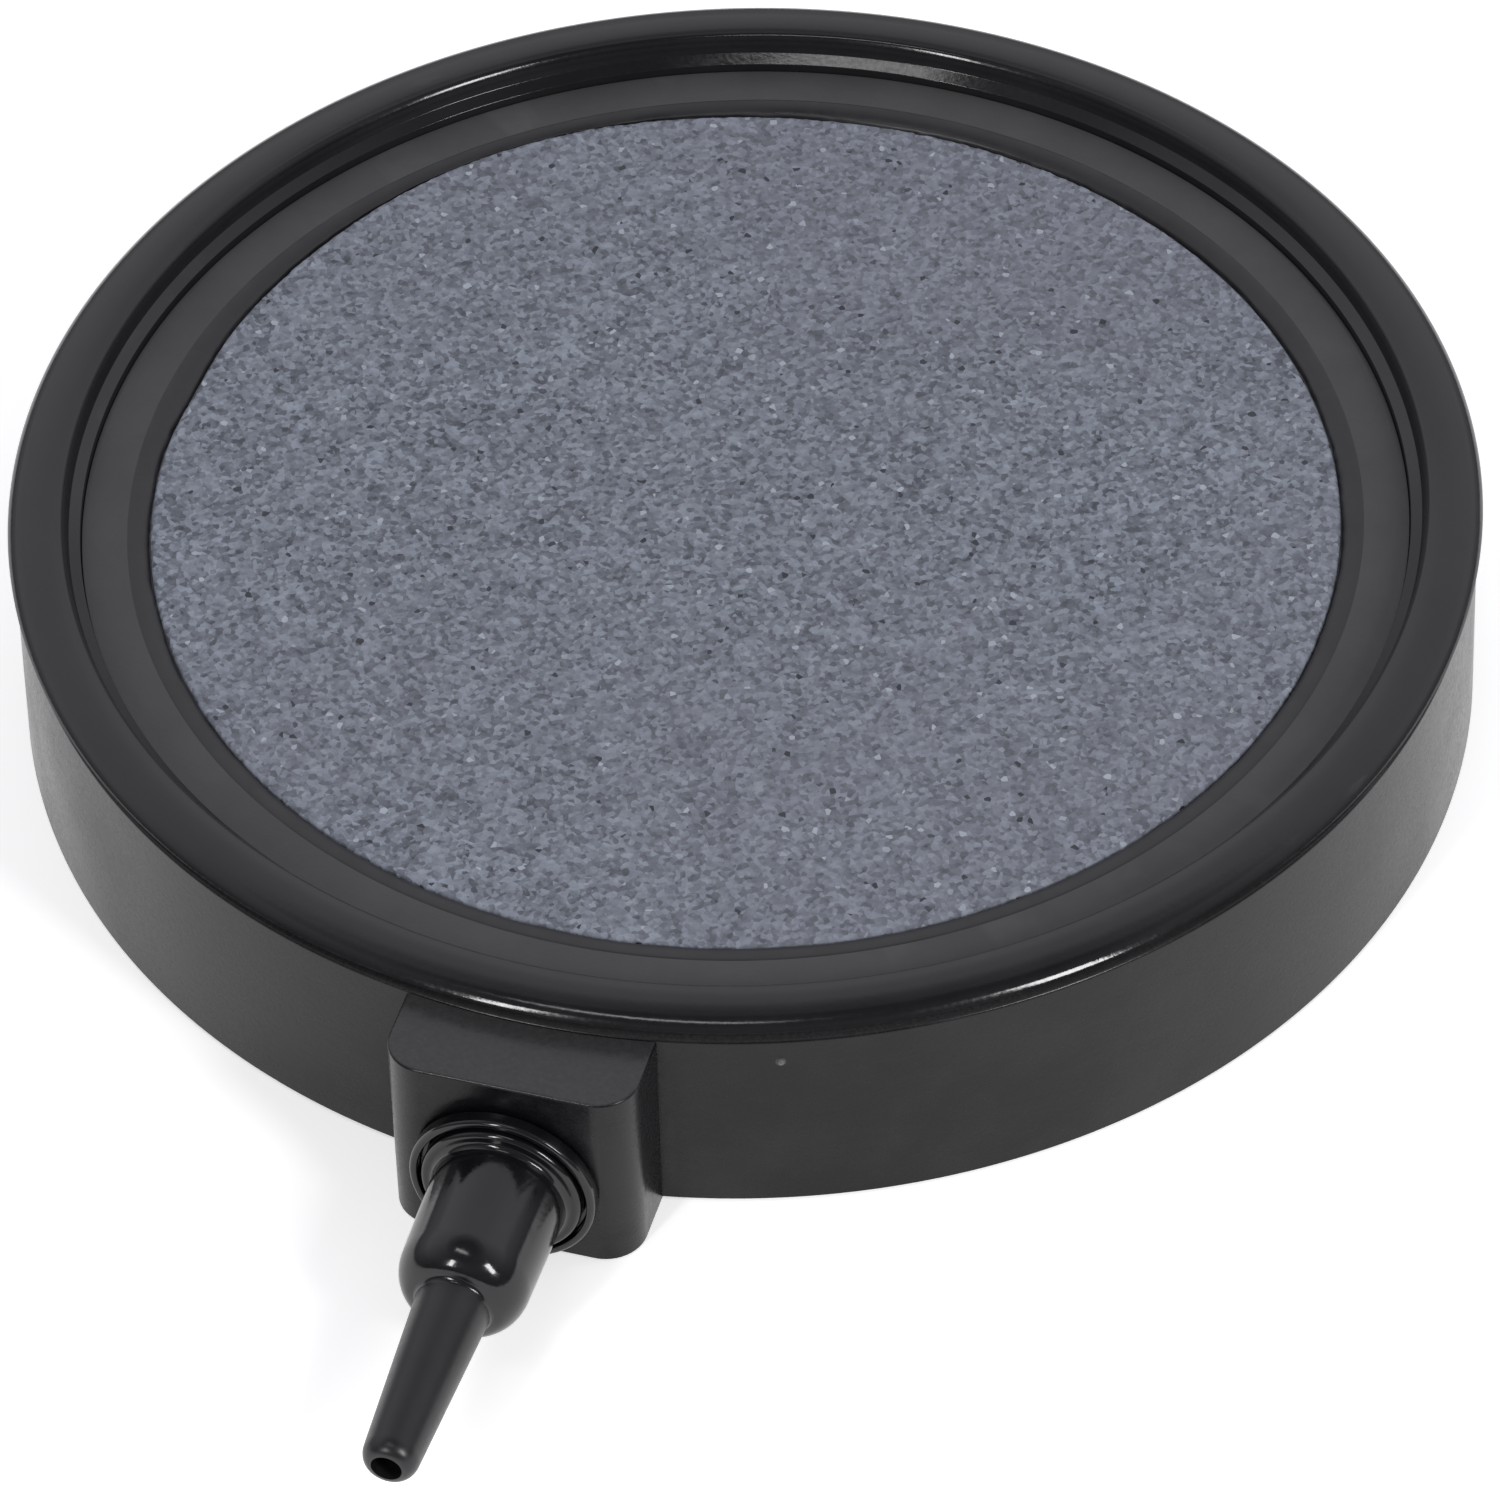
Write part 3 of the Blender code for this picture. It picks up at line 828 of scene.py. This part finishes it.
def make_nozzle(material):
    """Plug, flange, thick sleeve with a long rounded shoulder, and the tapered stem."""
    flange_face = 60.9
    flange_back = flange_face - 0.95
    sleeve_radius, sleeve_head = 4.65, 71.4
    stem_root = 2.68
    airway, stem_airway = 2.4, 1.1
    plug_radius, groove_floor = 4.2, 3.4
    groove_back, groove_front = 54.6, 56.6
    tip = [(radius, along, 0.0) for radius, along in stem_tip(stem_airway)]
    shoulder = []
    for i in range(10, -1, -1):
        angle = math.radians(7 * i)
        radius = sleeve_radius - 2.0 + 2.0 * math.cos(angle)
        shoulder.append((radius, sleeve_head - 2.8 + 2.8 * math.sin(angle), 0.0))
    outline = rounded(
        [
            (airway, PLUG_BACK, 0.2),
            (airway, 68.9, 0.3),
            (stem_airway, 70.1, 0.3),
            *tip,
            (stem_root, sleeve_head + 0.05, 0.45),
            *shoulder,
            (4.8, flange_face, 0.45),
            (FLANGE_RADIUS, flange_face, 0.4),
            (FLANGE_RADIUS, flange_back, 0.15),
            (plug_radius, flange_back, 0.1),
            (plug_radius, groove_front, 0.1),
            (groove_floor, groove_front, 0.1),
            (groove_floor, groove_back, 0.1),
            (plug_radius, groove_back, 0.1),
            (plug_radius, PLUG_BACK, 0.35),
        ],
        segments=10,
    )
    nozzle = on_inlet(revolve("nozzle_body", outline, INLET_STEPS), INLET_HEIGHT * MM)
    return place(shade(nozzle), "nozzle", "gloss_black_plastic", material, "inlet_nozzle")


def make_o_ring(material):
    """Round-section seal in the plug's groove."""
    radius, groove_middle, section = 3.95, 55.6, 0.38
    steps = 16
    outline = []
    for i in range(steps):
        angle = -2 * math.pi * i / steps
        across = radius + section * math.cos(angle)
        outline.append((across * MM, (groove_middle + section * math.sin(angle)) * MM))
    ring = on_inlet(revolve("plug_o_ring", outline, SMALL_STEPS), INLET_HEIGHT * MM)
    return place(shade(ring), "nozzle", "seal_rubber", material, "nozzle_o_ring")


def paint_node(name, material):
    """A CAD node that stays as it is gets the finished material."""
    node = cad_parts[name]
    node.data.materials.clear()
    node.data.materials.append(material)


gloss = black_plastic(
    "gloss_black",
    dark=(0.005, 0.005, 0.006),
    light=(0.009, 0.009, 0.0108),
    roughness=0.14,
    spread=0.04,
    grain=0.12,
    scratches=0.05,
    steep=0.35,
)
# The centre of the painted highlight on the gate mark.
gate_point = (
    GATE_FACE * MM * math.sin(GATE_TURN),
    -GATE_FACE * MM * math.cos(GATE_TURN),
    GATE_HEIGHT * MM,
)
satin = black_plastic(
    "satin_black",
    dark=(0.003, 0.003, 0.0038),
    light=(0.006, 0.006, 0.0074),
    roughness=0.27,
    spread=0.05,
    grain=0.25,
    scratches=0.08,
    shine=0.27,
    gate=gate_point,
    dust=0.5,
)
band = black_plastic(
    "band_black",
    dark=(0.050, 0.050, 0.052),
    light=(0.066, 0.066, 0.068),
    roughness=0.47,
    spread=0.06,
    grain=0.35,
    scratches=0.1,
    shine=0.3,
)
inlet = black_plastic(
    "inlet_black",
    dark=(0.004, 0.004, 0.005),
    light=(0.008, 0.008, 0.0096),
    roughness=0.12,
    spread=0.03,
    grain=0.12,
    scratches=0.05,
    matt_beyond=0.0714,
)
rubber = rubber_material()

make_cover_ring(gloss)
make_dish(satin)
make_carrier(band)
make_stone(stone_material())
make_bead(sealant_material())
make_bush(inlet)
make_nozzle(inlet)
make_o_ring(rubber)
paint_node("cover_seal", rubber)
paint_node("stone_gasket", rubber)


# ---------------------------------------------------------------- stage, camera and light


VIEW_AZIMUTH = math.radians(17.5)
VIEW_RIGHT = Vector((math.cos(VIEW_AZIMUTH), math.sin(VIEW_AZIMUTH), 0))
VIEW_AHEAD = Vector((-math.sin(VIEW_AZIMUTH), math.cos(VIEW_AZIMUTH), 0))


def add_floor():
    """A white table that glows a little, as a light table does."""
    bpy.ops.mesh.primitive_plane_add(size=6.0, location=(0, 0, -0.00005))
    floor = bpy.context.active_object
    floor.name = "studio_floor"
    n = Nodes("floor_paper")
    n.shader.inputs["Base Color"].default_value = (0.93, 0.93, 0.93, 1.0)
    n.shader.inputs["Roughness"].default_value = 0.9
    n.shader.inputs["Emission Color"].default_value = (1.0, 1.0, 1.0, 1.0)
    n.shader.inputs["Emission Strength"].default_value = 0.47
    floor.data.materials.append(n.material)


def add_lamp(name, turn, elevation, width, height, radiance, distance=1.2):
    """A soft box that faces the disc. turn is in degrees to the right of the camera."""
    turn, elevation = math.radians(turn), math.radians(elevation)
    flat = -VIEW_AHEAD * math.cos(turn) + VIEW_RIGHT * math.sin(turn)
    location = (flat * math.cos(elevation) + Vector((0, 0, math.sin(elevation)))) * distance
    data = bpy.data.lights.new(name, "AREA")
    data.shape = "RECTANGLE"
    data.size = width
    data.size_y = height
    data.energy = radiance * math.pi * width * height
    lamp = bpy.data.objects.new(name, data)
    lamp.location = location
    lamp.rotation_euler = (-location).to_track_quat("-Z", "Y").to_euler()
    bpy.context.scene.collection.objects.link(lamp)


def add_camera():
    """The camera at the photographed angle, with the roll that it was held at."""
    elevation, roll = math.radians(44.98), math.radians(-1.769)
    distance = 0.6466
    upward = Vector((0, 0, distance * math.sin(elevation)))
    location = -VIEW_AHEAD * distance * math.cos(elevation) + upward
    aim_left, aim_nearer = 0.168, 9.31
    aim = -aim_left * MM * VIEW_RIGHT - aim_nearer * MM * VIEW_AHEAD
    forward = (aim - location).normalized()
    side = forward.cross(Vector((0, 0, 1))).normalized()
    above = side.cross(forward)
    tilted_side = side * math.cos(roll) + above * math.sin(roll)
    tilted_above = above * math.cos(roll) - side * math.sin(roll)
    data = bpy.data.cameras.new("camera")
    data.sensor_width = 36.0
    data.lens = 209.57
    data.clip_start = 0.01
    data.clip_end = 20.0
    camera = bpy.data.objects.new("camera", data)
    rows = [(tilted_side[i], tilted_above[i], -forward[i], location[i]) for i in range(3)]
    camera.matrix_world = Matrix((*rows, (0, 0, 0, 1)))
    bpy.context.scene.collection.objects.link(camera)
    bpy.context.scene.camera = camera


def add_world():
    """A studio: a large soft window behind the disc, a dim room round it and a dark ceiling."""
    world = bpy.data.worlds.new("studio")
    world.use_nodes = True
    tree = world.node_tree
    tint = (0.985, 0.985, 1.04)

    def add(kind, **settings):
        node = tree.nodes.new(kind)
        for key, value in settings.items():
            setattr(node, key, value)
        return node

    def ramp(value, stops):
        """Tinted light, from (height, level) stops."""
        node = add("ShaderNodeValToRGB")
        node.color_ramp.interpolation = "EASE"
        points = node.color_ramp.elements
        while len(points) < len(stops):
            points.new(0.5)
        for point, (position, level) in zip(points, stops):
            point.position = position
            point.color = (*[share * level for share in tint], 1.0)
        tree.links.new(value, node.inputs["Fac"])
        return node.outputs["Color"]

    direction = add("ShaderNodeTexCoord").outputs["Generated"]
    parts = add("ShaderNodeSeparateXYZ")
    tree.links.new(direction, parts.inputs[0])
    along = add("ShaderNodeVectorMath", operation="DOT_PRODUCT")
    tree.links.new(direction, along.inputs[0])
    along.inputs[1].default_value = VIEW_AHEAD
    side = add("ShaderNodeMapRange")
    tree.links.new(along.outputs["Value"], side.inputs["Value"])
    side.inputs["From Min"].default_value = -0.45
    side.inputs["From Max"].default_value = 0.35
    window = [
        (0.0, 0.12),
        (0.3, 0.28),
        (0.45, 0.45),
        (0.6, 0.46),
        (0.82, 0.42),
        (0.9, 0.22),
        (0.97, 0.07),
    ]
    behind = ramp(parts.outputs["Z"], window)
    room = [(0.0, 0.05), (0.3, 0.1), (0.6, 0.12), (0.95, 0.07)]
    before = ramp(parts.outputs["Z"], room)
    blend = add("ShaderNodeMix", data_type="RGBA")
    tree.links.new(side.outputs["Result"], blend.inputs[0])
    tree.links.new(before, blend.inputs[6])
    tree.links.new(behind, blend.inputs[7])
    background = tree.nodes["Background"]
    tree.links.new(blend.outputs[2], background.inputs["Color"])
    background.inputs["Strength"].default_value = 2.0
    bpy.context.scene.world = world


add_floor()
add_camera()
add_world()
add_lamp("lamp_left", turn=-36, elevation=34, width=0.12, height=0.42, radiance=22.0)
add_lamp("lamp_right", turn=43.5, elevation=34, width=0.22, height=0.42, radiance=22.0)
add_lamp("overhead_strip", turn=-32, elevation=75, width=0.41, height=0.14, radiance=5.0)
bpy.context.scene.view_settings.view_transform = "Standard"
